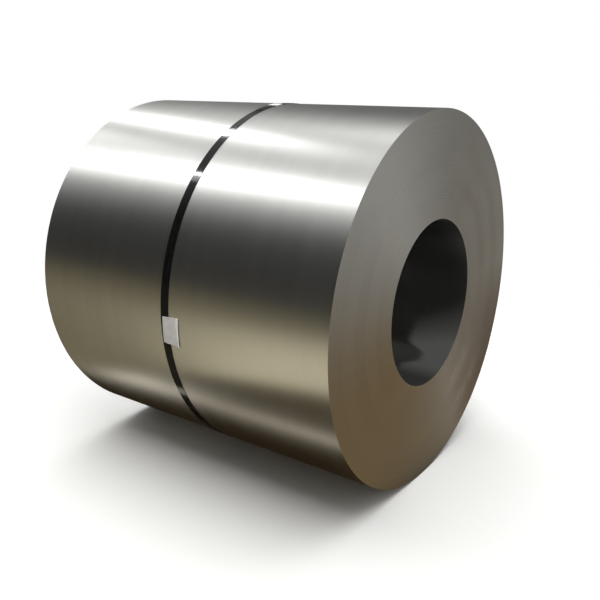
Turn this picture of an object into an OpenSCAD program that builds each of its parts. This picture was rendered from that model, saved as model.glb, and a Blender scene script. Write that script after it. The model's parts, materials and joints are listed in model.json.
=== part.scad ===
// A coil of rolled steel strip lying on its side, held shut by one steel strap.
// Millimetres. +X runs along the coil's axis, +Z is up, and the coil rests on z = 0.
// Places around the coil are angles in degrees from the floor: 90 is the back, 180 the top, 270 the front.

/* [Strip] */
// Width of the rolled strip, which is the length of the coil
strip_width = 1315; // [800:5:1850]
// Thickness of the strip, which is the height of the step at each of its ends
strip_gauge = 2; // [1:0.1:4]

/* [Coil] */
// Diameter of the eye, set by the mandrel that the strip was wound on
eye_d = 610; // [420:1:762]
// Outside diameter of the wound coil
coil_d = 1370; // [1000:5:2000]
// Neighbouring turns that lie flush and show as one band on the coil's ends
turns_per_band = 5; // [3:1:12]
// How far the bands swing from side to side along the axis
wander = 1.6; // [0:0.1:6]
// Bands in one such swing
wander_bands = 7; // [3:1:15]
// Width of the open seam between two bands
seam_w = 1.2; // [0.4:0.1:2]
// Depth of the open seam between two bands
seam_depth = 0.8; // [0.2:0.1:3]
// Place of the strip's outer end, the tail
tail_at = 62; // [20:1:85]
// Arc over which the turn under the tail rises to the full diameter
tail_arc = 150; // [60:5:165]
// Place of the strip's inner end, the head, in the wall of the eye
head_at = 300; // [0:1:359]
// Arc over which the wall of the eye closes in again behind the head
head_arc = 60; // [30:5:80]

/* [Strap] */
// Width of the strapping
strap_w = 36; // [13:0.5:40]
// Thickness of the strapping
strap_t = 0.9; // [0.5:0.1:1.5]
// Distance of the strap from the middle of the coil, along the axis
strap_at = -6; // [-300:1:300]
// Length over which the two ends of the strap overlap
strap_overlap = 190; // [100:5:300]

/* [Strap seal] */
// Place of the seal around the coil
seal_at = 186; // [130:0.5:230]
// Length of the seal along the strap
seal_len = 38; // [30:1:80]
// Thickness of the seal's sheet
seal_t = 1.1; // [0.7:0.1:2]
// Room between the seal and the strap inside it
seal_clearance = 0.15; // [0.05:0.05:0.5]
// Radius of the crimps that bite into the seal's two edges
crimp_r = 4; // [2:0.5:6]
// Distance between the two pairs of crimps
crimp_pitch = 18; // [14:1:40]

/* [Label] */
// Width of the label along the axis
label_w = 74; // [45:1:120]
// Length of the label around the coil
label_len = 102; // [40:1:160]
// Thickness of the label
label_t = 0.3; // [0.1:0.05:1]
// Place of the label's middle around the coil
label_at = 273.5; // [240:0.5:320]
// Strip of the strap that the label leaves bare on its left side
label_inset = 6; // [0:0.5:12]
// Width over which the label comes down from the strap to the coil
label_ramp = 6; // [2:0.5:12]

/* [Hidden] */
$fn = 180;

coil_r = coil_d / 2;
eye_r = eye_d / 2;
axis_height = coil_r + strap_t;
turns = floor((coil_r - eye_r) / strip_gauge);
bands = max(1, floor(turns / turns_per_band));
band_h = (coil_r - eye_r) / bands;
cut_margin = 10;

// Degrees of arc that a length takes up at a radius
function arc(length, radius) = length / radius * 180 / PI;

// Sideways place of a band: its swing shifts both of its edges alike, because the strip keeps its width
function shift(band) = wander / 2 * cos(360 * band / wander_bands);
function near_edge(band) = strip_width / 2 + shift(band);
function far_edge(band) = -strip_width / 2 + shift(band);

// Radius where a band starts
function band_r(band) = eye_r + band * band_h;

// Turns the drawing axis from Z to X, and lifts it to the coil's axis
module on_axis() {
  translate([0, 0, axis_height]) rotate([0, 90, 0]) children();
}

// The outline of one coil end, from the eye to the outside: flat bands with an open seam between each two
near_end = [
  for (i = [0:bands - 1]) each [
    [band_r(i) + (i > 0 ? seam_w / 2 : 0), near_edge(i)],
    [band_r(i + 1) - (i < bands - 1 ? seam_w / 2 : 0), near_edge(i)],
    if (i < bands - 1) [band_r(i + 1), min(near_edge(i), near_edge(i + 1)) - seam_depth],
  ]
];
far_end = [
  for (i = [bands - 1:-1:0]) each [
    if (i < bands - 1) [band_r(i + 1), max(far_edge(i), far_edge(i + 1)) + seam_depth],
    [band_r(i + 1) - (i < bands - 1 ? seam_w / 2 : 0), far_edge(i)],
    [band_r(i) + (i > 0 ? seam_w / 2 : 0), far_edge(i)],
  ]
];

// What the last turn leaves bare: one gauge deep at the tail, and nothing at the end of tail_arc
module tail_relief() {
  shift_x = strip_gauge / (1 - cos(tail_arc));
  reach = coil_r + cut_margin;
  linear_extrude(strip_width + 2 * wander + 2 * cut_margin, center = true) difference() {
    translate([-reach, 0]) square([2 * reach, reach]);
    translate([-shift_x, 0]) circle(coil_r - strip_gauge + shift_x);
  }
}

// What the first turn leaves bare in the wall of the eye, on the other side of the head
module head_relief() {
  shift_x = strip_gauge / (1 - cos(head_arc));
  linear_extrude(strip_width + 2 * wander + 2 * cut_margin, center = true) intersection() {
    translate([0, -coil_r]) square([coil_r, coil_r]);
    translate([shift_x, 0]) circle(eye_r + strip_gauge - shift_x);
  }
}

module coil() {
  color("#8c887c") on_axis() difference() {
    rotate_extrude() polygon(concat(near_end, far_end));
    rotate([0, 0, tail_at]) tail_relief();
    rotate([0, 0, head_at]) head_relief();
  }
}

// A piece of strapping bent to a radius, with the given arc in its middle at angle 0
module strapping(radius, degrees) {
  rotate([0, 0, -degrees / 2]) rotate_extrude(angle = degrees)
    translate([radius, -strap_w / 2]) square([strap_t, strap_w]);
}

module strap() {
  color("#1b1a17") on_axis() translate([0, 0, strap_at]) {
    rotate_extrude() translate([coil_r, -strap_w / 2]) square([strap_t, strap_w]);
    rotate([0, 0, seal_at]) strapping(coil_r + strap_t, arc(strap_overlap, coil_r));
  }
}

// The seal's section: a sheet folded over both layers of the strap, with its two edges down at the coil
module seal_section() {
  half_in = strap_w / 2 + seal_clearance;
  half_out = half_in + seal_t;
  foot = coil_r + seal_clearance;
  roof = coil_r + 2 * strap_t + seal_clearance;
  difference() {
    translate([foot, -half_out]) square([roof + seal_t - foot, 2 * half_out]);
    translate([coil_r, -half_in]) square([roof - coil_r, 2 * half_in]);
  }
}

module strap_seal() {
  degrees = arc(seal_len, coil_r);
  edge = strap_w / 2 + seal_clearance + seal_t;
  color("#c9c9c4") on_axis() translate([0, 0, strap_at]) rotate([0, 0, seal_at]) difference() {
    rotate([0, 0, -degrees / 2]) rotate_extrude(angle = degrees) seal_section();
    for (side = [-1, 1], along = [-1, 1])
      rotate([0, 0, along * arc(crimp_pitch / 2, coil_r)]) translate([coil_r, 0, side * edge])
        rotate([0, 90, 0]) cylinder(h = 2 * cut_margin, r = crimp_r, center = true);
  }
}

// The label lies on the strap, comes down its right edge and lies on the coil
module label() {
  left = strap_at - strap_w / 2 + label_inset;
  strap_right = strap_at + strap_w / 2;
  under = [
    [coil_r + strap_t, left],
    [coil_r + strap_t, strap_right],
    [coil_r, strap_right + label_ramp],
    [coil_r, left + label_w],
  ];
  over = [for (i = [len(under) - 1:-1:0]) under[i] + [label_t, 0]];
  degrees = arc(label_len, coil_r);
  color("#d8d6d0") on_axis() rotate([0, 0, label_at - degrees / 2])
    rotate_extrude(angle = degrees) polygon(concat(under, over));
}

coil();
strap();
strap_seal();
label();
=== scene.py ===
import json
import math

import bmesh
import bpy
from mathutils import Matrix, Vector


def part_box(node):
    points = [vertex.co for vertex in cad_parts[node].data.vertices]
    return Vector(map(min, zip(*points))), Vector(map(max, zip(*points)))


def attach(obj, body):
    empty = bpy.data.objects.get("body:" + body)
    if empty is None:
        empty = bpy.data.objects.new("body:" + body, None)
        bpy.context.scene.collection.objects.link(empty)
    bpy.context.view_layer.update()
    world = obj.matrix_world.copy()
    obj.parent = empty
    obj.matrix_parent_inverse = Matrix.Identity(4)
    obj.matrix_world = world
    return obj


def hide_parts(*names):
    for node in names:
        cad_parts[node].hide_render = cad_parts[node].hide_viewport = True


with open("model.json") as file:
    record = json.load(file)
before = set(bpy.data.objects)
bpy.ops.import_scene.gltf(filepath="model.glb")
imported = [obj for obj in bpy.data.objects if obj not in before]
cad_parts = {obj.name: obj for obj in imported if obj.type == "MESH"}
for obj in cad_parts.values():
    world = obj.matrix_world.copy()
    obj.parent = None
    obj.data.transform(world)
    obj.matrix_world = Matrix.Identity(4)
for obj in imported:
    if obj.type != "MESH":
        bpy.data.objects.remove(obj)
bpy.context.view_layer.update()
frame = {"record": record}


# The coil: one long strip of cold-rolled steel, wound turn on turn on a mandrel that left the eye.
# The rolls' grain runs around it under a thin film of oil, and the slit edges of all turns make its two ends.
# Places around the coil are degrees from the floor: 90 is the back, 180 the top, 270 the front.

eye = next(mount for mount in frame["record"]["mounts"] if mount["name"] == "eye")
axis_height = eye["pos_m"][2]
eye_radius = eye["dims"]["r_mm"] / 1000
strip_width = eye["dims"]["length_mm"] / 1000
coil_radius = axis_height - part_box("coil")[0][2]
strip_gauge = 0.002
air_between_turns = 0.00004
head_place = 300
tail_place = 62
steps_per_turn = 128
first_turn_radius = eye_radius + strip_gauge / 2
last_turn_radius = coil_radius - strip_gauge / 2 + strip_gauge * tail_place / 360
part_turn = (tail_place - head_place) % 360 / 360
whole_turns = math.floor((last_turn_radius - first_turn_radius) / strip_gauge - part_turn)
slow_wander = 0.0014
slow_wander_per_turn = 0.03
edge_jitter = 0.00012
edge_jitter_per_turn = 1.7
winding_seed = 11.0
strip_corner_angle = 0.7
facing_an_end = 0.7
rolled_dull = (0.572, 0.57, 0.557)
rolled_bright = (0.598, 0.596, 0.584)
rolled_roughness = (0.325, 0.365)
rolled_unevenness = 0.008
rolled_drawn_out = 0.7
quarter_turn = 0.25
edge_dull = (0.405, 0.40, 0.38)
edge_bright = (0.465, 0.46, 0.44)
edge_soiled = (0.40, 0.36, 0.32)
edge_soiled_most = 0.35
edge_soiled_range = (0.45, 0.75)
edge_painted_brown = (0.21, 0.17, 0.15)
edge_painted_brown_most = 0.9
edge_painted_brown_range = (0.82, 1.0)
edge_painted_brown_inside = 0.4
edge_painted_brown_grows_from = 0.3
edge_rings_per_turn = 0.35
edge_roughness = (0.38, 0.45)
edge_drawn_out = 0.65
lower_back = (0.85, -0.53)


def add_node(tree, kind, inputs=None, **settings):
    """Adds a node. An input takes a value, or a socket that is linked to it."""
    node = tree.nodes.new(kind)
    for name, value in settings.items():
        setattr(node, name, value)
    for name, value in (inputs or {}).items():
        if isinstance(value, bpy.types.NodeSocket):
            tree.links.new(value, node.inputs[name])
        else:
            node.inputs[name].default_value = value
    return node


def calc(tree, operation, first, second=0.0):
    """A Math node's result."""
    return add_node(tree, "ShaderNodeMath", {0: first, 1: second}, operation=operation).outputs[0]


def new_tree(name, sizes):
    """A Geometry Nodes tree with a geometry input and the named inputs. Returns it and its input sockets."""
    tree = bpy.data.node_groups.new(name, "GeometryNodeTree")
    tree.interface.new_socket("Geometry", in_out="INPUT", socket_type="NodeSocketGeometry")
    tree.interface.new_socket("Geometry", in_out="OUTPUT", socket_type="NodeSocketGeometry")
    for title, kind in sizes.items():
        tree.interface.new_socket(title, in_out="INPUT", socket_type="NodeSocket" + kind)
    return tree, add_node(tree, "NodeGroupInput").outputs


def end_tree(tree, geometry):
    """Joins the finished geometry to the tree's output."""
    out = add_node(tree, "NodeGroupOutput")
    tree.links.new(geometry, out.inputs["Geometry"])


def grow(name, tree, values, path=None):
    """Runs a tree on an empty mesh or a path, and keeps the result as a plain mesh object at the origin."""
    seed = bpy.data.objects.new(name + "_seed", path or bpy.data.meshes.new(name + "_seed"))
    bpy.context.collection.objects.link(seed)
    modifier = seed.modifiers.new(tree.name, "NODES")
    modifier.node_group = tree
    for item in tree.interface.items_tree:
        if item.in_out == "INPUT" and item.name in values:
            modifier[item.identifier] = values[item.name]
    mesh = bpy.data.meshes.new_from_object(seed.evaluated_get(bpy.context.evaluated_depsgraph_get()))
    seed.modifiers.remove(modifier)
    bpy.data.objects.remove(seed)
    piece = bpy.data.objects.new(name, mesh)
    bpy.context.collection.objects.link(piece)
    return piece


def carried_along(tree, curve, section):
    """A closed band: a section carried along a curve."""
    return add_node(tree, "GeometryNodeCurveToMesh", {
        "Curve": curve, "Profile Curve": section, "Fill Caps": True,
    }).outputs[0]


def laid_on_axis(tree, geometry, height):
    """Turns a shape that is drawn with its axis upright onto the coil's axis."""
    lift = add_node(tree, "ShaderNodeCombineXYZ", {"Z": height}).outputs[0]
    return add_node(tree, "GeometryNodeTransform", {
        "Geometry": geometry, "Translation": lift, "Rotation": (0.0, math.pi / 2, 0.0),
    }).outputs[0]


def shaded_and_real(tree, geometry, corner_angle):
    """Smooth shading that stops at corners of more than this angle, with all instances made real."""
    smooth = add_node(tree, "GeometryNodeSetShadeSmooth", {
        "Geometry": geometry, "Shade Smooth": True,
    }, domain="FACE").outputs[0]
    angle = add_node(tree, "GeometryNodeInputMeshEdgeAngle").outputs[0]
    corner = add_node(tree, "FunctionNodeCompare", {
        "A": angle, "B": corner_angle,
    }, operation="GREATER_THAN").outputs[0]
    sharp = add_node(tree, "GeometryNodeSetShadeSmooth", {
        "Geometry": smooth, "Selection": corner, "Shade Smooth": False,
    }, domain="EDGE").outputs[0]
    return add_node(tree, "GeometryNodeRealizeInstances", {"Geometry": sharp}).outputs[0]


def new_material(name):
    """An empty material with a Principled shader. Returns it, its tree and the shader."""
    material = bpy.data.materials.new(name)
    material.use_nodes = True
    tree = material.node_tree
    return material, tree, tree.nodes["Principled BSDF"]


def around_the_axis(tree):
    """Sockets for a place along the axis and out from it, as one sum, and for its direction from the axis."""
    place = add_node(tree, "ShaderNodeTexCoord").outputs["Object"]
    part = add_node(tree, "ShaderNodeSeparateXYZ", {0: place}).outputs
    up = calc(tree, "SUBTRACT", part["Z"], axis_height)
    squares = calc(tree, "ADD", calc(tree, "POWER", part["Y"], 2), calc(tree, "POWER", up, 2))
    radius = calc(tree, "SQRT", squares)
    across = calc(tree, "ADD", part["X"], radius)
    return across, calc(tree, "DIVIDE", part["Y"], radius), calc(tree, "DIVIDE", up, radius)


def streaks(tree, where, per_metre, around, detail):
    """Noise drawn out around the axis: fine across the strip, and long in the rolling direction."""
    across, sideways, upward = where
    vector = add_node(tree, "ShaderNodeCombineXYZ", {
        "X": calc(tree, "MULTIPLY", across, per_metre),
        "Y": calc(tree, "MULTIPLY", sideways, around),
        "Z": calc(tree, "MULTIPLY", upward, around),
    }).outputs[0]
    noise = add_node(tree, "ShaderNodeTexNoise", {"Vector": vector, "Scale": 1.0, "Detail": detail})
    return noise.outputs["Fac"]


def spread(tree, value, low, high, start=0.3, end=0.7):
    """Maps a value from start..end, where most of a noise lies, to low..high."""
    return add_node(tree, "ShaderNodeMapRange", {
        "Value": value, "From Min": start, "From Max": end, "To Min": low, "To Max": high,
    }).outputs["Result"]


def blend_colours(tree, share, first, second):
    """A colour between two."""
    mix = add_node(tree, "ShaderNodeMix", {0: share}, data_type="RGBA")
    for socket, value in ((mix.inputs[6], first), (mix.inputs[7], second)):
        if isinstance(value, bpy.types.NodeSocket):
            tree.links.new(value, socket)
        else:
            socket.default_value = (*value, 1.0)
    return mix.outputs[2]


def drawn_out(tree, shader, amount):
    """Makes bare steel mirror things drawn out across the grain, which runs around the axis."""
    shader.inputs["Metallic"].default_value = 1.0
    shader.inputs["Anisotropic"].default_value = amount
    shader.inputs["Anisotropic Rotation"].default_value = quarter_turn
    tangent = add_node(tree, "ShaderNodeTangent", direction_type="RADIAL", axis="X").outputs[0]
    tree.links.new(tangent, shader.inputs["Tangent"])


def rolled_face_steel():
    """The bright faces of the strip: a satin finish whose reflections are drawn out across the grain."""
    material, tree, shader = new_material("rolled_steel")
    where = around_the_axis(tree)
    broad = streaks(tree, where, per_metre=22, around=1.2, detail=3.0)
    grain = streaks(tree, where, per_metre=900, around=5.0, detail=3.0)
    shade = blend_colours(tree, spread(tree, broad, 0.0, 1.0), rolled_dull, rolled_bright)
    tree.links.new(shade, shader.inputs["Base Color"])
    uneven = spread(tree, broad, -rolled_unevenness, rolled_unevenness)
    rough = calc(tree, "ADD", uneven, spread(tree, grain, *rolled_roughness))
    tree.links.new(rough, shader.inputs["Roughness"])
    drawn_out(tree, shader, rolled_drawn_out)
    return material


def slit_edge_steel():
    """The slit edges of the strip: duller and darker than its faces, a little different from turn to turn,
    and with a painted brown reflection of the floor at the lower back, stronger towards the rim."""
    material, tree, shader = new_material("slit_edges")
    where = around_the_axis(tree)
    sideways, upward = where[1:]
    turn = add_node(tree, "ShaderNodeAttribute", attribute_name="turn").outputs["Fac"]
    rings = add_node(tree, "ShaderNodeTexNoise", {
        "W": turn, "Scale": edge_rings_per_turn, "Detail": 4.0,
    }, noise_dimensions="1D").outputs["Fac"]
    patches = streaks(tree, where, per_metre=6, around=2.5, detail=3.0)
    plain = blend_colours(tree, spread(tree, rings, 0.0, 1.0), edge_dull, edge_bright)
    soiled = spread(tree, patches, 0.0, edge_soiled_most, *edge_soiled_range)
    shade = blend_colours(tree, soiled, plain, edge_soiled)
    # Painted reflection: the ends turn brown at their lower back, more so towards the rim, for the floor they
    # mirror.
    to_the_back = calc(tree, "MULTIPLY", sideways, lower_back[0])
    to_the_floor = calc(tree, "MULTIPLY", upward, lower_back[1])
    low_back = calc(tree, "ADD", to_the_back, to_the_floor)
    grows_from = edge_painted_brown_grows_from * whole_turns
    at_rim = spread(tree, turn, edge_painted_brown_inside, 1.0, start=grows_from, end=whole_turns)
    brown = calc(tree, "MULTIPLY", at_rim, spread(tree, low_back, 0.0, edge_painted_brown_most, *edge_painted_brown_range))
    shade = blend_colours(tree, brown, shade, edge_painted_brown)
    tree.links.new(shade, shader.inputs["Base Color"])
    tree.links.new(spread(tree, patches, *edge_roughness), shader.inputs["Roughness"])
    drawn_out(tree, shader, edge_drawn_out)
    return material


def strip_winding():
    """The tree that winds the strip: a spiral that wanders sideways, with the strip's section along it."""
    tree, size = new_tree("Strip winding", {
        "Turns": "Float", "Steps per Turn": "Int", "First Turn Radius": "Float", "Last Turn Radius": "Float",
        "Strip Width": "Float", "Strip Thickness": "Float", "Head Place": "Float", "Axis Height": "Float",
        "Wander": "Float", "Edge Jitter": "Float", "Seed": "Float",
        "Face Steel": "Material", "Edge Steel": "Material",
    })
    spiral = add_node(tree, "GeometryNodeCurveSpiral", {
        "Resolution": size["Steps per Turn"], "Rotations": size["Turns"], "Height": 0.0, "Reverse": True,
        "Start Radius": size["First Turn Radius"], "End Radius": size["Last Turn Radius"],
    }).outputs[0]
    index = add_node(tree, "GeometryNodeInputIndex").outputs[0]
    turn = calc(tree, "DIVIDE", index, size["Steps per Turn"])

    def swing(per_turn, amount):
        """A sideways swing of the strip, so many waves to a turn."""
        place = calc(tree, "ADD", calc(tree, "MULTIPLY", turn, per_turn), size["Seed"])
        noise = add_node(tree, "ShaderNodeTexNoise", {
            "W": place, "Scale": 1.0, "Detail": 0.0,
        }, noise_dimensions="1D").outputs[0]
        return calc(tree, "MULTIPLY", calc(tree, "SUBTRACT", noise, 0.5), amount)

    slow = swing(slow_wander_per_turn, size["Wander"])
    drift = calc(tree, "ADD", slow, swing(edge_jitter_per_turn, size["Edge Jitter"]))
    offset = add_node(tree, "ShaderNodeCombineXYZ", {"Z": drift}).outputs[0]
    wound = add_node(tree, "GeometryNodeSetPosition", {"Geometry": spiral, "Offset": offset}).outputs[0]
    counted = add_node(tree, "GeometryNodeStoreNamedAttribute", {
        "Geometry": wound, "Name": "turn", "Value": turn,
    }, data_type="FLOAT", domain="POINT").outputs[0]
    upright = add_node(tree, "GeometryNodeSetCurveNormal", {"Curve": counted}, mode="Z_UP").outputs[0]
    section = add_node(tree, "GeometryNodeCurvePrimitiveQuadrilateral", {
        "Width": size["Strip Thickness"], "Height": size["Strip Width"],
    }).outputs[0]
    strip = carried_along(tree, upright, section)
    head_turn = add_node(tree, "ShaderNodeCombineXYZ", {"Z": size["Head Place"]}).outputs[0]
    turned = add_node(tree, "GeometryNodeTransform", {"Geometry": strip, "Rotation": head_turn}).outputs[0]
    laid = laid_on_axis(tree, turned, size["Axis Height"])
    real = shaded_and_real(tree, laid, strip_corner_angle)
    faces = add_node(tree, "GeometryNodeSetMaterial", {
        "Geometry": real, "Material": size["Face Steel"],
    }).outputs[0]
    normal = add_node(tree, "GeometryNodeInputNormal").outputs[0]
    outward = add_node(tree, "ShaderNodeSeparateXYZ", {0: normal}).outputs["X"]
    at_end = add_node(tree, "FunctionNodeCompare", {
        "A": calc(tree, "ABSOLUTE", outward), "B": facing_an_end,
    }, operation="GREATER_THAN").outputs[0]
    edges = add_node(tree, "GeometryNodeSetMaterial", {
        "Geometry": faces, "Selection": at_end, "Material": size["Edge Steel"],
    }).outputs[0]
    end_tree(tree, edges)
    return tree


coil = grow("wound_strip", strip_winding(), {
    "Turns": whole_turns + part_turn, "Steps per Turn": steps_per_turn,
    "First Turn Radius": first_turn_radius, "Last Turn Radius": last_turn_radius,
    "Strip Width": strip_width, "Strip Thickness": strip_gauge - air_between_turns,
    "Head Place": math.radians(head_place), "Axis Height": axis_height,
    "Wander": slow_wander, "Edge Jitter": edge_jitter, "Seed": winding_seed,
    "Face Steel": rolled_face_steel(), "Edge Steel": slit_edge_steel(),
})
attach(coil, "root")
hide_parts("coil")


# The strap: black lacquered steel strapping, pulled tight around the middle of the coil, a little askew.
# It bridges the step at the strip's outer end, and its own two ends lie over each other under the seal.

strap_low, strap_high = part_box("strap")
strap_width = strap_high[0] - strap_low[0]
strap_thickness = 0.0009
strap_edge_radius = 0.0003
strap_edge_steps = 2
strap_corner_angle = 0.3
strap_fit = 0.00003
strap_middle = -0.0061
strap_skew = 0.0087
strap_overlap = 0.190
strap_step = 0.5
seal_place = 186
strap_lap = math.degrees(strap_overlap / coil_radius)
strap_start = seal_place - strap_lap / 2
strap_points = round((360 + strap_lap) / strap_step)
just_past = 0.001
lacquer_black = (0.003, 0.003, 0.003)
lacquer_scuffed = (0.009, 0.0088, 0.0085)
lacquer_scuff_range = (0.35, 0.8)
lacquer_roughness = (0.07, 0.10)
lacquer_shine = 0.2


def coil_surface(place):
    """Radius of the coil's outside at a place around it."""
    return coil_radius + strip_gauge / 360 * (tail_place - (tail_place - place) % 360)


def taut_over(radius, height, degrees):
    """Radius of a band that comes off an edge of this height and meets the round, so far past the edge."""
    meets = math.degrees(math.acos(radius / (radius + height)))
    return radius / math.cos(math.radians(meets - degrees)) if 0 <= degrees <= meets else radius


def strap_inside(place):
    """Radius of the strap's inner face at a place along it, from its lower end to its upper end."""
    radius = coil_surface(place)
    past_tail = (place - tail_place) % 360
    radius = max(radius, taut_over(coil_surface(tail_place + just_past), strip_gauge, past_tail))
    before_lap = strap_start + 360 - place
    if before_lap <= 0:
        return radius + strap_thickness
    return max(radius, taut_over(radius, strap_thickness, before_lap))


def strap_aside(place):
    """Distance of the strap's middle from the coil's middle, along the axis."""
    return strap_middle + strap_skew * math.cos(math.radians(place - 180))


def strap_path():
    """The line that the strap follows around the coil, drawn with the axis upright."""
    path = bpy.data.curves.new("strap_path", "CURVE")
    path.dimensions = "3D"
    line = path.splines.new("POLY")
    line.points.add(strap_points)
    for index, point in enumerate(line.points):
        place = strap_start + (360 + strap_lap) * index / strap_points
        radius = strap_inside(place) + strap_fit + strap_thickness / 2
        turn = math.radians(place)
        point.co = (radius * math.cos(turn), radius * math.sin(turn), strap_aside(place), 1.0)
    return path


def strap_lacquer():
    """Black lacquer on steel: glossy and faintly scuffed along the strap."""
    material, tree, shader = new_material("black_lacquer")
    scuffs = streaks(tree, around_the_axis(tree), per_metre=260, around=14.0, detail=4.0)
    scuffed = spread(tree, scuffs, 0.0, 1.0, *lacquer_scuff_range)
    tree.links.new(blend_colours(tree, scuffed, lacquer_black, lacquer_scuffed), shader.inputs["Base Color"])
    tree.links.new(spread(tree, scuffs, *lacquer_roughness), shader.inputs["Roughness"])
    shader.inputs["Specular IOR Level"].default_value = lacquer_shine
    return material


def band_along_path():
    """The tree that lays a band with rounded edges along a path, and turns it onto the coil's axis."""
    tree, size = new_tree("Band along path", {
        "Width": "Float", "Thickness": "Float", "Edge Radius": "Float", "Axis Height": "Float",
        "Finish": "Material",
    })
    flat = add_node(tree, "GeometryNodeSetCurveNormal", {"Curve": size["Geometry"]}, mode="Z_UP").outputs[0]
    section = add_node(tree, "GeometryNodeCurvePrimitiveQuadrilateral", {
        "Width": size["Thickness"], "Height": size["Width"],
    }).outputs[0]
    rounded = add_node(tree, "GeometryNodeFilletCurve", {
        "Curve": section, "Radius": size["Edge Radius"], "Count": strap_edge_steps,
    }, mode="POLY").outputs[0]
    laid = laid_on_axis(tree, carried_along(tree, flat, rounded), size["Axis Height"])
    real = shaded_and_real(tree, laid, strap_corner_angle)
    end_tree(tree, add_node(tree, "GeometryNodeSetMaterial", {
        "Geometry": real, "Material": size["Finish"],
    }).outputs[0])
    return tree


strap = grow("steel_strap", band_along_path(), {
    "Width": strap_width, "Thickness": strap_thickness, "Edge Radius": strap_edge_radius,
    "Axis Height": axis_height, "Finish": strap_lacquer(),
}, strap_path())
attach(strap, "root")
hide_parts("strap")


# The strap seal: zinc-coated sheet steel, folded over both layers of the strap near the top of the coil.
# Two pairs of crimps pinch its sides into the strap, so that the ends can't slip.

seal_length = 0.038
seal_sheet = 0.0011
seal_room = 0.00015
seal_foot = 0.0002
seal_leg = 0.0009
seal_fold = 0.0014
seal_fold_steps = 6
seal_roof_shares = (0.9, 0.75, 0.6, 0.4, 0.2)
seal_steps = 40
crimp_pitch = 0.018
crimp_length = 0.0036
crimp_depth = 0.0024
crimp_from = 0.6
crimp_dip = 0.0005
crimp_dips_over = 0.0015
zinc_grey = (0.78, 0.785, 0.79)
zinc_pale = (0.88, 0.885, 0.89)
zinc_roughness = (0.42, 0.55)
zinc_metal_share = 0.3
zinc_cells_per_metre = 260.0


def on_the_coil(place, radius, aside):
    """The point at a place around the coil, a radius from its axis and a distance aside from its middle."""
    turn = math.radians(place)
    return Vector((aside, radius * math.sin(turn), axis_height - radius * math.cos(turn)))


def sheet_mesh(name, rows):
    """A mesh of one sheet, from rows of points."""
    mesh = bpy.data.meshes.new(name)
    bm = bmesh.new()
    grid = [[bm.verts.new(point) for point in row] for row in rows]
    for lower, upper in zip(grid, grid[1:]):
        for left in range(len(lower) - 1):
            bm.faces.new((lower[left], upper[left], upper[left + 1], lower[left + 1]))
    for face in bm.faces:
        face.smooth = True
    bm.normal_update()
    bm.to_mesh(mesh)
    bm.free()
    piece = bpy.data.objects.new(name, mesh)
    bpy.context.collection.objects.link(piece)
    return piece


def seal_section():
    """The seal's outline across the strap: distances aside and heights above the coil, from foot to foot."""
    half = strap_width / 2 + seal_room + seal_sheet
    roof = 2 * strap_thickness + seal_room + seal_sheet
    right = [(half, height) for height in (seal_foot, seal_leg, roof - seal_fold)]
    for step in range(1, seal_fold_steps):
        turn = math.radians(90 * step / seal_fold_steps)
        right.append((half - seal_fold * (1 - math.cos(turn)), roof - seal_fold * (1 - math.sin(turn))))
    right += [(half * share, roof) for share in seal_roof_shares]
    left = [(-aside, height) for aside, height in right]
    return left + [(0.0, roof)] + right[::-1]


def seal_rows():
    """The seal's points, a row across the strap for each step along it, drawn in and down at the crimps."""
    half = strap_width / 2
    for step in range(seal_steps + 1):
        along = seal_length * (step / seal_steps - 0.5)
        pinch = sum(math.exp(-((along - side * crimp_pitch / 2) / crimp_length) ** 2) for side in (-1, 1))
        place = seal_place + math.degrees(along / coil_radius)
        row = []
        for aside, height in seal_section():
            at_edge = max(0.0, (abs(aside) - crimp_from * half) / ((1 - crimp_from) * half)) ** 2
            bite = pinch * min(at_edge, 1.0)
            aside -= math.copysign(crimp_depth * bite, aside)
            if height > crimp_dips_over:
                height -= crimp_dip * bite
            radius = coil_surface(place) + strap_fit + height
            row.append(on_the_coil(place, radius, strap_aside(place) + aside))
        yield row


def seal_zinc():
    """Zinc coating: pale grey with a faint spangle."""
    material, tree, shader = new_material("zinc_coat")
    place = add_node(tree, "ShaderNodeTexCoord").outputs["Object"]
    cells = add_node(tree, "ShaderNodeTexVoronoi", {"Vector": place, "Scale": zinc_cells_per_metre})
    spangle = add_node(tree, "ShaderNodeSeparateColor", {0: cells.outputs["Color"]}).outputs[0]
    tree.links.new(blend_colours(tree, spangle, zinc_grey, zinc_pale), shader.inputs["Base Color"])
    tree.links.new(spread(tree, spangle, *zinc_roughness, start=0.0, end=1.0), shader.inputs["Roughness"])
    shader.inputs["Metallic"].default_value = zinc_metal_share
    return material


def thicken(piece, thickness):
    """Gives a sheet its thickness, on its inner side."""
    solid = piece.modifiers.new("Thickness", "SOLIDIFY")
    solid.thickness = thickness
    solid.offset = -1.0


seal = sheet_mesh("crimped_seal", list(seal_rows()))
seal.data.materials.append(seal_zinc())
thicken(seal, seal_sheet)
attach(seal, "root")
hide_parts("strap_seal")


# The label: a bare paper label, stuck over the strap at the front of the coil.
# It comes down the strap's right side onto the steel, and its right edge has lifted a little.

label_low, label_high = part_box("label")
label_left = label_low[0]
label_right = label_high[0]
label_length = 0.102
label_place = 273.5
label_paper = 0.00028
label_glue = 0.00015
label_ramp = 0.006
label_lift = 0.003
label_lift_from = 0.78
label_lift_at_top = 0.5
label_skew = -0.005
label_taper = 0.06
label_columns = 60
label_rows = 48
wave_height = 0.00012
waves_across = 14
waves_down = 40
wave_swells = 9
paper_soiled = (0.445, 0.425, 0.405)
paper_clean = (0.515, 0.492, 0.468)
paper_painted_highlight = (0.62, 0.605, 0.57)
paper_highlight_start = label_right - 0.013
paper_highlight_full = label_right - 0.008
paper_highlight_waver = 0.002
soil_per_metre = 38.0
fibres_per_metre = 420.0
fibre_strength = 0.15
fibre_depth = 0.0003
paper_roughness = 0.75


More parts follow.
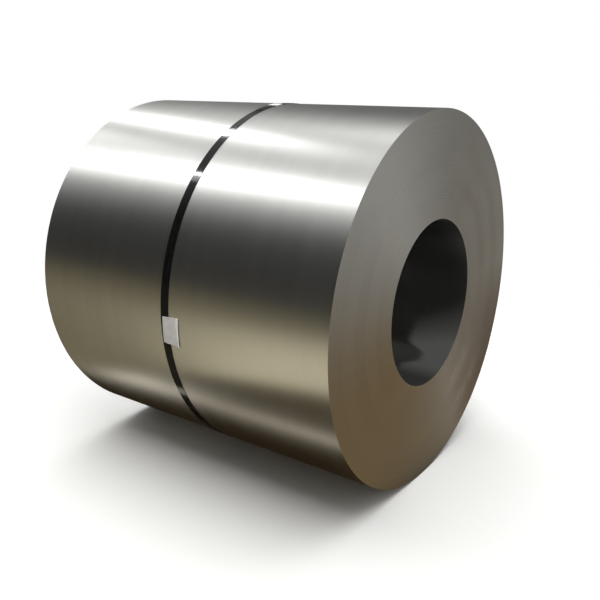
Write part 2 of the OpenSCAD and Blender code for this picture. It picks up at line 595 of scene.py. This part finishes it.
def smooth_step(value, start, end):
    """A soft step from 0 at the start to 1 at the end."""
    share = min(1.0, max(0.0, (value - start) / (end - start)))
    return share * share * (3 - 2 * share)


def label_points():
    """The label's points, row by row from its upper edge down."""
    for row in range(label_rows + 1):
        down = row / label_rows
        points = []
        for column in range(label_columns + 1):
            across = column / label_columns
            length = label_length * (1 + label_taper * (2 * across - 1))
            place = label_place + math.degrees(length / coil_radius) * (down - 0.5)
            aside = label_left + (label_right - label_left) * across + label_skew * (down - 0.5)
            strap_edge = strap_aside(place) + strap_width / 2
            height = strap_thickness * (1 - smooth_step(aside, strap_edge, strap_edge + label_ramp))
            lifted = label_lift_at_top + (1 - label_lift_at_top) * down
            height += label_lift * smooth_step(across, label_lift_from, 1.0) * lifted
            wave = math.sin(waves_across * across + waves_down * down) * math.sin(wave_swells * down)
            height += wave_height * wave
            underside = coil_surface(place) + 2 * strap_fit + label_glue
            points.append(on_the_coil(place, underside + label_paper + height, aside))
        yield points


def plain_paper():
    """Uncoated paper, greyed by handling, with a painted highlight as a paler margin along its lifted right
    edge, and a soft fibre.
    """
    material, tree, shader = new_material("plain_paper")
    place = add_node(tree, "ShaderNodeTexCoord").outputs["Object"]
    part = add_node(tree, "ShaderNodeSeparateXYZ", {0: place}).outputs
    fibre = add_node(tree, "ShaderNodeTexNoise", {
        "Vector": place, "Scale": fibres_per_metre, "Detail": 5.0,
    }).outputs["Fac"]
    soil = add_node(tree, "ShaderNodeTexNoise", {
        "Vector": place, "Scale": soil_per_metre, "Detail": 3.0,
    }).outputs["Fac"]
    # A painted highlight: a paler margin along the lifted right edge, with a wavering inner edge.
    wavering = calc(tree, "ADD", part["X"], spread(tree, soil, -paper_highlight_waver, paper_highlight_waver))
    margin = spread(tree, wavering, 0.0, 1.0, start=paper_highlight_start, end=paper_highlight_full)
    field = blend_colours(tree, spread(tree, soil, 0.0, 1.0), paper_soiled, paper_clean)
    tree.links.new(blend_colours(tree, margin, field, paper_painted_highlight), shader.inputs["Base Color"])
    shader.inputs["Roughness"].default_value = paper_roughness
    bump = add_node(tree, "ShaderNodeBump", {
        "Height": fibre, "Strength": fibre_strength, "Distance": fibre_depth,
    }).outputs[0]
    tree.links.new(bump, shader.inputs["Normal"])
    return material


label = sheet_mesh("paper_label", list(label_points()))
label.data.materials.append(plain_paper())
thicken(label, label_paper)
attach(label, "root")
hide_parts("label")


# The stage starts here. Its floor is pale and matt to the camera, and fades into a white background.
# The steel mirrors it in darker tones that it glows with: painted light in front of the coil, brown beside it
# and painted shadow under it.
# A pair is where a change of tone starts and where it is complete. A line is a, b and c of ax + by + c.

floor_reach = 20.0
floor_gap = 0.0004
floor_fade = (1.7, 3.6)
floor_pale = (0.9, 0.9, 0.89)
floor_dim = (0.248, 0.215, 0.138)
floor_mid = (0.212, 0.184, 0.118)
floor_mid_away = (1.0, 2.0)
floor_far = (0.135, 0.115, 0.07)
floor_far_away = (3.0, 9.0)
floor_painted_dark_band = (0.06, 0.05, 0.03)
floor_painted_dark_along = (-0.65, -0.30)
floor_painted_dark_out = (-1.4, -1.1)
floor_lit = (0.825, 0.745, 0.525)
lit_side = (0.81, -0.59, -0.24)
lit_side_ramp = (-0.06, 0.18)
lit_front = (-0.40, -1.0, -1.104)
lit_front_ramp = (-0.06, 0.10)
lit_fade = (1.6, 5.0)
floor_painted_light_streak = (0.98, 0.88, 0.71)
streak_line = (0.02, 1.0, 0.675)
streak_breadth = (0.008, 0.052)
streak_along = (-0.97, -0.72)
floor_glint = (2.10, 1.94, 1.64)
glint_left = (-0.80, -0.58)
glint_right = (-0.05, -0.50)
floor_brown = (0.27, 0.19, 0.095)
floor_grey = (0.36, 0.35, 0.32)
floor_grey_away = (1.3, 4.0)
brown_along = (0.60, 0.80)
floor_shadow = (0.022, 0.014, 0.007)
shadow_middle = -0.2
shadow_along = (0.80, 0.90)
shadow_out = (0.53, 0.59)
shadow_narrowing = 0.03


def ramp_up(tree, value, start, end):
    """A soft step from 0 at the start to 1 at the end."""
    return add_node(tree, "ShaderNodeMapRange", {
        "Value": value, "From Min": start, "From Max": end,
    }, interpolation_type="SMOOTHSTEP").outputs["Result"]


def ramp_down(tree, value, start, end):
    """A soft step from 1 at the start to 0 at the end."""
    return calc(tree, "SUBTRACT", 1.0, ramp_up(tree, value, start, end))


def line_side(tree, part, along_x, along_y, constant):
    """The distance from a line, seen from above: along_x times x, plus along_y times y, plus a constant."""
    from_x = calc(tree, "MULTIPLY", part["X"], along_x)
    from_y = calc(tree, "MULTIPLY", part["Y"], along_y)
    return calc(tree, "ADD", calc(tree, "ADD", from_x, from_y), constant)


def mirrored_floor(tree, place):
    """The floor's glowing tones that the steel mirrors: painted light in front, a painted light streak and
    dark band, brown beside the coil, and painted shadow under it.
    """
    part = add_node(tree, "ShaderNodeSeparateXYZ", {0: place}).outputs
    away = add_node(tree, "ShaderNodeVectorMath", {0: place}, operation="LENGTH").outputs["Value"]
    dim = blend_colours(tree, ramp_up(tree, away, *floor_mid_away), floor_dim, floor_mid)
    dim = blend_colours(tree, ramp_up(tree, away, *floor_far_away), dim, floor_far)
    # Painted shade: a dark band in front of the coil.
    dark_along = ramp_up(tree, part["X"], *floor_painted_dark_along)
    dark = calc(tree, "MULTIPLY", dark_along, ramp_up(tree, part["Y"], *floor_painted_dark_out))
    # A painted pool of light in front of the coil.
    lit = ramp_up(tree, line_side(tree, part, *lit_side), *lit_side_ramp)
    lit = calc(tree, "MULTIPLY", lit, ramp_up(tree, line_side(tree, part, *lit_front), *lit_front_ramp))
    lit = calc(tree, "MULTIPLY", lit, ramp_down(tree, away, *lit_fade))
    tone = blend_colours(tree, lit, blend_colours(tree, dark, dim, floor_painted_dark_band), floor_lit)
    # A painted light streak along the coil, with a painted glint on its left part.
    from_streak = calc(tree, "ABSOLUTE", line_side(tree, part, *streak_line))
    streak = ramp_down(tree, from_streak, *streak_breadth)
    streak = calc(tree, "MULTIPLY", streak, ramp_up(tree, part["X"], *streak_along))
    glint = ramp_up(tree, part["X"], *glint_left)
    glint = calc(tree, "MULTIPLY", glint, ramp_up(tree, part["X"], *glint_right))
    tone = blend_colours(tree, streak, tone, blend_colours(tree, glint, floor_painted_light_streak, floor_glint))
    beside = blend_colours(tree, ramp_up(tree, away, *floor_grey_away), floor_brown, floor_grey)
    tone = blend_colours(tree, ramp_up(tree, part["X"], *brown_along), tone, beside)
    # Painted shadow under the coil.
    narrowed = calc(tree, "MULTIPLY", part["X"], shadow_narrowing)
    out = calc(tree, "ADD", calc(tree, "ABSOLUTE", part["Y"]), narrowed)
    aside = calc(tree, "ABSOLUTE", calc(tree, "SUBTRACT", part["X"], shadow_middle))
    shadow = calc(tree, "MULTIPLY", ramp_down(tree, out, *shadow_out), ramp_down(tree, aside, *shadow_along))
    return blend_colours(tree, shadow, tone, floor_shadow)


def stage_material(name):
    """An empty material for the stage, not sampled as a light. Returns it and its tree."""
    material = bpy.data.materials.new(name)
    material.use_nodes = True
    material.cycles.emission_sampling = "NONE"
    material.node_tree.nodes.clear()
    return material, material.node_tree


def floor_finish():
    """Pale and matt to the camera, and glowing in its painted mirrored tones to the steel."""
    material, tree = stage_material("studio_floor")
    place = add_node(tree, "ShaderNodeTexCoord").outputs["Object"]
    away = add_node(tree, "ShaderNodeVectorMath", {0: place}, operation="LENGTH").outputs["Value"]
    ray = add_node(tree, "ShaderNodeLightPath").outputs
    matt = add_node(tree, "ShaderNodeBsdfDiffuse", {"Color": (*floor_pale, 1.0)}).outputs[0]
    clear = add_node(tree, "ShaderNodeBsdfTransparent").outputs[0]
    fade = calc(tree, "MULTIPLY", ray["Is Camera Ray"], ramp_up(tree, away, *floor_fade))
    seen = add_node(tree, "ShaderNodeMixShader", {0: fade, 1: matt, 2: clear}).outputs[0]
    mirrored = add_node(tree, "ShaderNodeEmission", {"Color": mirrored_floor(tree, place)}).outputs[0]
    both = add_node(tree, "ShaderNodeMixShader", {0: ray["Is Glossy Ray"], 1: seen, 2: mirrored}).outputs[0]
    tree.links.new(both, add_node(tree, "ShaderNodeOutputMaterial").inputs["Surface"])
    return material


floor_mesh = bpy.data.meshes.new("studio_floor")
floor_signs = ((-1, -1), (1, -1), (1, 1), (-1, 1))
floor_corners = [(x * floor_reach, y * floor_reach, -floor_gap) for x, y in floor_signs]
floor_mesh.from_pydata(floor_corners, [], [(0, 1, 2, 3)])
floor_mesh.materials.append(floor_finish())
floor = bpy.data.objects.new("studio_floor", floor_mesh)
bpy.context.collection.objects.link(floor)


# The eye's cards: three glowing cards that only the steel sees, painted reflections which give the eye the
# tones it mirrors.
# Two close its mouths, the far one an even dark grey for painted shade and the near one paler above.
# The third lies close over the eye's floor, as a painted sheen near the mouth.

far_card_gap = 0.02
far_card_glow = (0.038, 0.038, 0.034)
near_card_gap = 0.0015
near_card_low = (0.012, 0.012, 0.011)
near_card_high = (0.14, 0.14, 0.13)
near_card_rise = (axis_height - 0.12, axis_height + 0.15)
mouth_disc_shares = (0.01, 0.99)
mouth_disc_step = 6
sheen_places = range(-8, 81, 2)
sheen_radius = 0.965 * eye_radius
sheen_along = (0.34, 0.45, 0.55, 0.654)
sheen_low = (0.04, 0.04, 0.04)
sheen_high = (0.115, 0.115, 0.115)
sheen_rise = (0.03, 0.12)
sheen_edge = (0.44, 0.49)
dent_back = (0.19, 0.155)
dent_front = (0.085, 0.13)
dent_depth = 0.055
sheen_cut = 0.025
sheen_cut_back = (0.15, 0.20)
sheen_faint = 0.28
sheen_faint_back = (0.19, 0.165)
sheen_top_line = (-0.2, 1.0, 0.094)
sheen_top_ramp = (0.258, 0.175)


def eye_card(name, rows, finish):
    """A card in the eye that only the steel sees."""
    card = sheet_mesh(name, rows)
    card.data.materials.append(finish)
    card.visible_camera = False
    card.visible_diffuse = False


def card_finish(name, glow_at, clear_at=None):
    """A glowing finish, clear by the share that clear_at gives. Both take the tree and a place's parts."""
    finish, tree = stage_material(name)
    place = add_node(tree, "ShaderNodeTexCoord").outputs["Object"]
    part = add_node(tree, "ShaderNodeSeparateXYZ", {0: place}).outputs
    shader = add_node(tree, "ShaderNodeEmission", {"Color": glow_at(tree, part)}).outputs[0]
    if clear_at:
        clear = add_node(tree, "ShaderNodeBsdfTransparent").outputs[0]
        share = clear_at(tree, part)
        shader = add_node(tree, "ShaderNodeMixShader", {0: share, 1: shader, 2: clear}).outputs[0]
    tree.links.new(shader, add_node(tree, "ShaderNodeOutputMaterial").inputs["Surface"])
    return finish


def mouth_disc(aside):
    """Points of a disc that closes a mouth of the eye."""
    places = range(0, 361, mouth_disc_step)
    radii = [share * eye_radius for share in mouth_disc_shares]
    return [[on_the_coil(place, radius, aside) for place in places] for radius in radii]


def far_mouth(tree, part):
    """The far mouth: an even, dark grey glow, painted shade for the eye."""
    return (*far_card_glow, 1.0)


def near_mouth(tree, part):
    """The near mouth: a painted glow, dark below and paler above."""
    return blend_colours(tree, ramp_up(tree, part["Z"], *near_card_rise), near_card_low, near_card_high)


def sheen_patch():
    """Points of a card that lies close over the floor of the eye, near its mouth."""
    return [[on_the_coil(place, sheen_radius, along) for along in sheen_along] for place in sheen_places]


def sheen_glow(tree, part):
    """The painted sheen, brighter towards the back."""
    return blend_colours(tree, ramp_up(tree, part["Y"], *sheen_rise), sheen_low, sheen_high)


def sheen_clear(tree, part):
    """The painted sheen shows on the wall behind the card only, and ends at a bent edge and half way up the
    back.
    """
    inside = add_node(tree, "ShaderNodeNewGeometry").outputs["Backfacing"]
    dent = ramp_up(tree, part["Y"], *dent_back)
    dent = calc(tree, "MULTIPLY", dent, ramp_up(tree, part["Y"], *dent_front))
    cut = spread(tree, part["Y"], sheen_cut, 0.0, *sheen_cut_back)
    bend = calc(tree, "ADD", calc(tree, "MULTIPLY", dent, dent_depth), cut)
    from_edge = calc(tree, "SUBTRACT", part["X"], bend)
    faint = calc(tree, "MULTIPLY", ramp_up(tree, part["Y"], *sheen_faint_back), sheen_faint)
    shown = calc(tree, "MAXIMUM", ramp_up(tree, from_edge, *sheen_edge), faint)
    up_the_back = line_side(tree, part, *sheen_top_line)
    shown = calc(tree, "MULTIPLY", shown, spread(tree, up_the_back, 0.0, 1.0, *sheen_top_ramp))
    return calc(tree, "MAXIMUM", inside, calc(tree, "SUBTRACT", 1.0, shown))


eye_card("far_card", mouth_disc(-strip_width / 2 - far_card_gap), card_finish("far_card", far_mouth))
eye_card("near_card", mouth_disc(strip_width / 2 + near_card_gap), card_finish("near_card", near_mouth))
eye_card("sheen_card", sheen_patch(), card_finish("sheen_card", sheen_glow, sheen_clear))


# The lights: one broad soft light for matt things, and strip lights overhead for the steel to mirror.
# The strap's lacquer has two lights of its own, a little lower, whose glare breaks its dark line.

soft_height = 4.6
soft_half = 3.2
soft_radiance = 2.8
strip_height = 3.9
front_joint = (-4.0, -1.22)
back_joint = (-4.2, 1.5752)
glare_height = 3.8


def area_light(name, height, start, end, width, radiance):
    """A long light between two points at a height, facing the floor. Returns the light's object."""
    start, end = Vector((*start, height)), Vector((*end, height))
    light = bpy.data.lights.new(name, "AREA")
    light.shape = "RECTANGLE"
    light.size = (end - start).length
    light.size_y = width
    light.energy = radiance * math.pi * light.size * width
    lamp = bpy.data.objects.new(name, light)
    lamp.location = (start + end) / 2
    lamp.rotation_euler = (0, 0, math.atan2(end.y - start.y, end.x - start.x))
    lamp.visible_camera = False
    bpy.context.collection.objects.link(lamp)
    return lamp


soft_light = area_light(
    "soft_light", soft_height, (-soft_half, 0), (soft_half, 0), width=2 * soft_half, radiance=soft_radiance,
)
soft_light.visible_glossy = False
for name, start, end, width, radiance in (
    ("front_strip_left", (-6.5, -1.10), front_joint, 0.42, 5.0),
    ("front_strip", front_joint, (-0.7, -1.38), 0.42, 7.3),
    ("front_strip_right", (0.6, -1.23), (5.0, -1.50), 0.15, 15.5),
    ("left_strip", (-6.5, 0.40), (-3.4, 0.27), 0.25, 6.2),
    ("back_strip_left", (-6.5, 2.50), back_joint, 0.45, 2.7),
    ("back_strip", back_joint, (-1.7, 0.57), 0.45, 5.4),
    ("back_strip_right", (0.6, 0.28), (5.0, 0.25), 0.26, 11.0),
    ("back_strip_far", (-1.75, 1.15), (1.0, 1.15), 0.2, 3.0),
):
    area_light(name, strip_height, start, end, width, radiance).visible_diffuse = False

glare = bpy.data.collections.new("strap_glare")
glare.objects.link(strap)
for name, start, end, width, radiance in (
    ("front_glare", (-5.0, -1.15), (-0.7, -1.15), 0.10, 70.0),
    ("back_glare", (-5.0, 0.83), (-0.7, 0.83), 0.30, 55.0),
):
    lamp = area_light(name, glare_height, start, end, width, radiance)
    lamp.visible_diffuse = False
    lamp.light_linking.receiver_collection = glare


# The room: white to the camera. The steel sees a ceiling over walls, dark in front and pale on the right.
# A pair is again where a change of tone starts and is complete: in parts of a direction for the walls,
# and for the ceiling in lean to the front, or aslant to the back, for each step up.

wall_front = (0.0245, 0.0245, 0.0235)
wall_back = (0.13, 0.13, 0.127)
wall_back_from = (-0.1, 0.4)
wall_left = (0.25, 0.25, 0.244)
wall_left_ends = (-0.75, -0.52)
wall_right = (0.70, 0.70, 0.68)
wall_right_from = (0.36, 0.60)
room_ceiling = (0.70, 0.70, 0.685)
ceiling_front = (1.1, 0.2)
ceiling_back = (1.1, 0.35)
ceiling_slant = 0.35
least_rise = 0.001
white = (1.0, 1.0, 1.0)

world = bpy.data.worlds.new("studio")
world.use_nodes = True
bpy.context.scene.world = world
sky = world.node_tree
sky.nodes.clear()
direction = add_node(sky, "ShaderNodeTexCoord").outputs["Generated"]
part = add_node(sky, "ShaderNodeSeparateXYZ", {0: direction}).outputs
rise = calc(sky, "MAXIMUM", part["Z"], least_rise)
to_front = calc(sky, "DIVIDE", calc(sky, "MULTIPLY", part["Y"], -1.0), rise)
aslant = calc(sky, "ADD", part["Y"], calc(sky, "MULTIPLY", part["X"], ceiling_slant))
to_back = calc(sky, "DIVIDE", aslant, rise)
ceiling = ramp_up(sky, to_front, *ceiling_front)
ceiling = calc(sky, "MULTIPLY", ceiling, ramp_up(sky, to_back, *ceiling_back))
behind = blend_colours(sky, ramp_up(sky, part["X"], *wall_left_ends), wall_left, wall_back)
walls = blend_colours(sky, ramp_up(sky, part["Y"], *wall_back_from), wall_front, behind)
walls = blend_colours(sky, ramp_up(sky, part["X"], *wall_right_from), walls, wall_right)
mirrored_room = blend_colours(sky, ceiling, walls, room_ceiling)
to_camera = add_node(sky, "ShaderNodeLightPath").outputs["Is Camera Ray"]
seen = blend_colours(sky, to_camera, mirrored_room, white)
background = add_node(sky, "ShaderNodeBackground", {"Color": seen}).outputs[0]
sky.links.new(background, add_node(sky, "ShaderNodeOutputWorld").inputs["Surface"])
bpy.context.scene.view_settings.view_transform = "Standard"


# The camera: it stands where the photograph was taken, at standing height, right of the coil's front.
# Its place, its direction and its lens were fitted to the coil's outlines.

camera = bpy.data.objects.new("camera", bpy.data.cameras.new("camera"))
camera.data.sensor_width = 36.0
camera.data.lens = 43.75
camera.location = (1.7340, -2.3207, 1.4752)
looking = Vector((-0.55743, 0.77601, -0.29510))
camera.rotation_euler = looking.to_track_quat("-Z", "Y").to_euler()
bpy.context.collection.objects.link(camera)
bpy.context.scene.camera = camera
